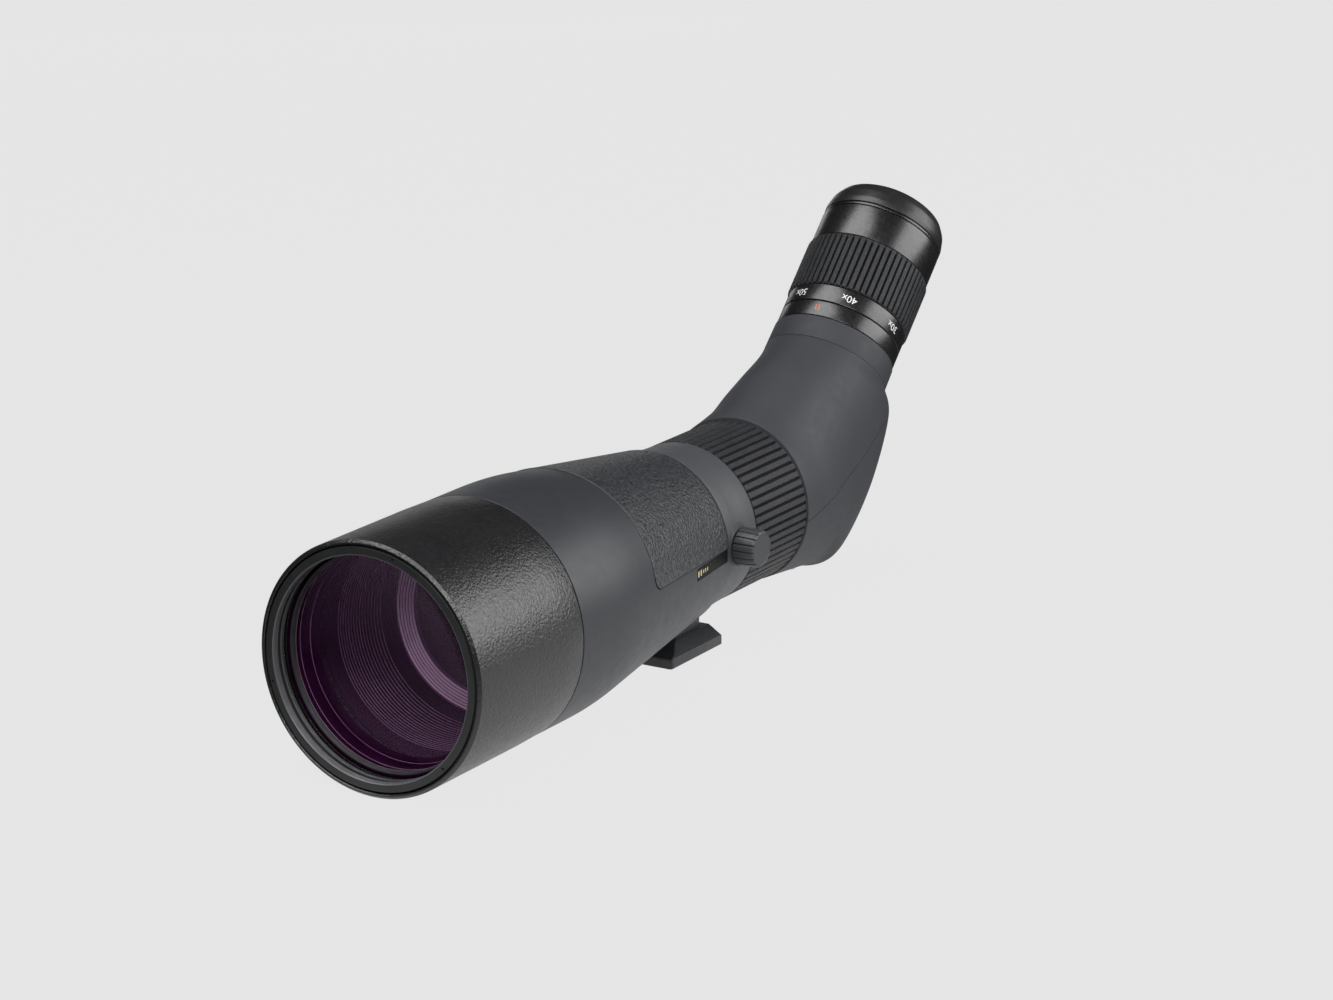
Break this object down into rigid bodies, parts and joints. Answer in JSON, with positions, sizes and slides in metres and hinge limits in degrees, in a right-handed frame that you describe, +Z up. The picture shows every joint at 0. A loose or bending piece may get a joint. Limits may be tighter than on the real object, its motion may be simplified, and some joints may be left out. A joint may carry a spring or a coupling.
{
  "type": "spotting scope",
  "caption": "Angled spotting scope with a sliding lens hood, focus ring, zoom eyepiece, twist-up eyecup and a rotating collar on a dovetail foot.",
  "frame": {"origin": "centre of the tripod foot's flat underside", "axes": "+Z up away from the tripod head; the objective faces -Y and the eyepiece is at the +Y end; the collar's clamp knob is on the +X side"},
  "size_m": [0.098, 0.4111, 0.1623],
  "materials": {
    "hood_paint": "black semi-gloss paint with a very fine grain",
    "black_metal": "satin black anodised metal",
    "armour_rubber": "matte dark grey rubber armour",
    "grained_panel": "dark grey rubber with a leather grain",
    "collar_metal": "smooth dark grey matte paint",
    "grip_rubber": "near-black ribbed rubber",
    "eyecup_rubber": "black moulded rubber",
    "knob_plastic": "dark grey moulded plastic",
    "foot_metal": "black hard-anodised aluminium",
    "badge_black": "black plate with a gold pattern",
    "coated_glass": "clear glass with a purple anti-reflection coating",
    "prism_glass": "clear glass with ground sides",
    "baffle_black": "flat black ridged baffle",
    "body_metal": "machined light alloy",
    "steel": "machined steel",
    "brass": "turned brass",
    "nylon": "natural nylon",
    "seal_rubber": "black seal rubber"
  },
  "bodies": {
    "mount": {"tripod_collar": "collar_metal", "collar_liner": "nylon", "tripod_foot": "foot_metal", "foot_thread_insert": "steel", "foot_screw_left": "steel", "foot_screw_right": "steel"},
    "clamp": {"clamp_knob": "knob_plastic", "clamp_screw": "steel"},
    "clamp_shoe": {"clamp_pad": "brass"},
    "scope_body": {"objective_barrel": "black_metal", "objective_cell": "black_metal", "objective_retaining_ring": "black_metal", "objective_front_lens": "coated_glass", "objective_rear_lens": "coated_glass", "lens_spacer_ring": "black_metal", "objective_oring": "seal_rubber", "main_tube": "body_metal", "body_armour": "armour_rubber", "grip_panel": "grained_panel", "badge_plate": "badge_black", "baffle_tube": "baffle_black", "baffle_diaphragm": "baffle_black", "prism_housing": "armour_rubber", "prism_cover": "armour_rubber", "prism_bracket": "body_metal", "cover_screw_left": "steel", "cover_screw_right": "steel", "half_penta_prism": "prism_glass", "roof_prism": "prism_glass", "eyepiece_collar": "armour_rubber", "eyepiece_mount_ring": "steel", "eyepiece_oring": "seal_rubber", "index_ring": "black_metal", "eyepiece_tube": "black_metal", "field_lens": "coated_glass", "eyepiece_barrel": "black_metal", "eye_lens": "coated_glass", "eye_lens_retainer": "black_metal"},
    "sunshade": {"sunshade_tube": "hood_paint", "sunshade_front_ring": "hood_paint", "sunshade_glide_ring": "seal_rubber"},
    "focus_ring": {"focus_ring_core": "body_metal", "focus_grip": "grip_rubber"},
    "focus_carriage": {"focus_cell": "black_metal", "focus_lens": "coated_glass", "focus_lens_retainer": "black_metal", "focus_drive_pin": "steel"},
    "zoom_ring": {"zoom_number_ring": "black_metal", "zoom_ring_core": "body_metal", "zoom_grip": "grip_rubber", "zoom_cam_sleeve": "body_metal"},
    "zoom_front_group": {"zoom_front_cell": "black_metal", "zoom_front_lens": "coated_glass"},
    "zoom_rear_group": {"zoom_rear_cell": "black_metal", "zoom_rear_lens": "coated_glass"},
    "eyecup_guide": {"eyecup_guide_sleeve": "nylon"},
    "eyecup": {"eyecup_sleeve": "black_metal", "eyecup_rubber": "eyecup_rubber"}
  },
  "joints": [
    {"name": "collar_turn", "type": "hinge", "parent": "mount", "child": "scope_body", "pos_m": [0, 0, 0.048], "axis": [0, 1, 0], "continuous": true},
    {"name": "clamp_turn", "type": "hinge", "parent": "mount", "child": "clamp", "pos_m": [0.04, 0.0058, 0.048], "axis": [-1, 0, 0], "range_deg": [0, 150]},
    {"name": "clamp_pad_slide", "type": "slide", "parent": "mount", "child": "clamp_shoe", "axis": [-1, 0, 0], "range_m": [0, 0.0003]},
    {"name": "sunshade_slide", "type": "slide", "parent": "scope_body", "child": "sunshade", "axis": [0, -1, 0], "range_m": [0, 0.038]},
    {"name": "focus_turn", "type": "hinge", "parent": "scope_body", "child": "focus_ring", "pos_m": [0, 0.042, 0.048], "axis": [0, 1, 0], "range_deg": [-225, 225]},
    {"name": "focus_carriage_slide", "type": "slide", "parent": "scope_body", "child": "focus_carriage", "axis": [0, 1, 0], "range_m": [-0.0081, 0.0081]},
    {"name": "zoom_turn", "type": "hinge", "parent": "scope_body", "child": "zoom_ring", "pos_m": [0, 0.16498, 0.11517], "axis": [0, -0.7071, -0.7071], "range_deg": [-78, 127]},
    {"name": "zoom_front_slide", "type": "slide", "parent": "scope_body", "child": "zoom_front_group", "axis": [0, 0.7071, 0.7071], "range_m": [-0.0042, 0.0068]},
    {"name": "zoom_rear_slide", "type": "slide", "parent": "scope_body", "child": "zoom_rear_group", "axis": [0, 0.7071, 0.7071], "range_m": [-0.0023, 0.0015]},
    {"name": "eyecup_twist", "type": "hinge", "parent": "scope_body", "child": "eyecup_guide", "pos_m": [0, 0.18972, 0.13992], "axis": [0, 0.7071, 0.7071], "range_deg": [0, 180.5]},
    {"name": "eyecup_rise", "type": "slide", "parent": "eyecup_guide", "child": "eyecup", "axis": [0, 0.7071, 0.7071], "range_m": [0, 0.012]}
  ],
  "couplings": [
    {"joint": "clamp_pad_slide", "follows": "clamp_turn", "m_per_rad": 0.00011077},
    {"joint": "focus_carriage_slide", "follows": "focus_turn", "m_per_rad": 0.0020372},
    {"joint": "zoom_front_slide", "follows": "zoom_turn", "m_per_rad": 0.0027},
    {"joint": "zoom_rear_slide", "follows": "zoom_turn", "m_per_rad": -0.001},
    {"joint": "eyecup_twist", "follows": "eyecup_rise", "rad_per_m": 261.8}
  ]
}
